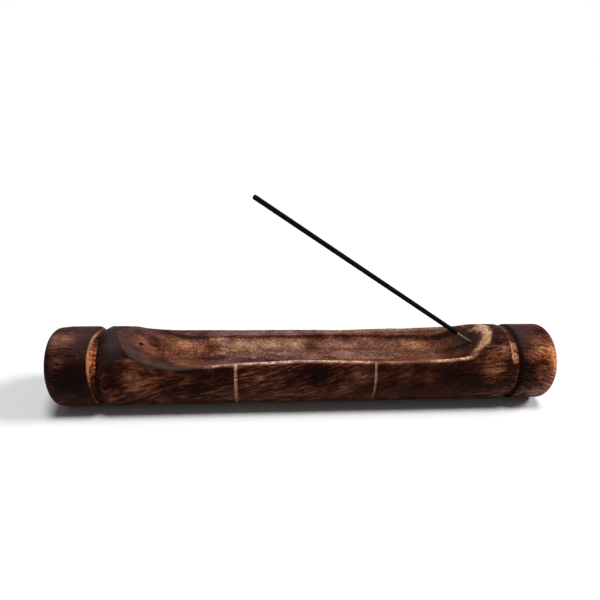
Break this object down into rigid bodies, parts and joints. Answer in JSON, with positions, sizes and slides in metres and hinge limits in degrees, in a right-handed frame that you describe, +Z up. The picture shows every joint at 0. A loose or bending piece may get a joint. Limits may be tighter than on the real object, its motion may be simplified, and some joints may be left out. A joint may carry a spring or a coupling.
{
  "type": "incense stick holder",
  "caption": "Round wooden incense stick holder lying on its side, with ring grooves, a long dished ash trough along the top and a leaning stick that lifts out of its drilled hole.",
  "frame": {"origin": "on the supporting surface, under the middle of the holder's flat base", "axes": "+X along the round of wood towards the hole that holds the stick, +Y away from the viewer, +Z up"},
  "size_m": [0.3026, 0.0474, 0.1289],
  "materials": {
    "scorched_wood": "scorched, sanded through at the rims and oiled to a satin sheen",
    "bamboo": "bare split bamboo, matt",
    "incense_paste": "matt black charcoal and wood powder paste, finely grained"
  },
  "bodies": {
    "holder": {"holder_body": "scorched_wood"},
    "stick": {"bamboo_splint": "bamboo", "incense_coat": "incense_paste"}
  },
  "joints": [
    {"name": "stick_slide", "type": "slide", "parent": "holder", "child": "stick", "axis": [-0.8305, 0, 0.557], "range_m": [0, 0.17]}
  ]
}
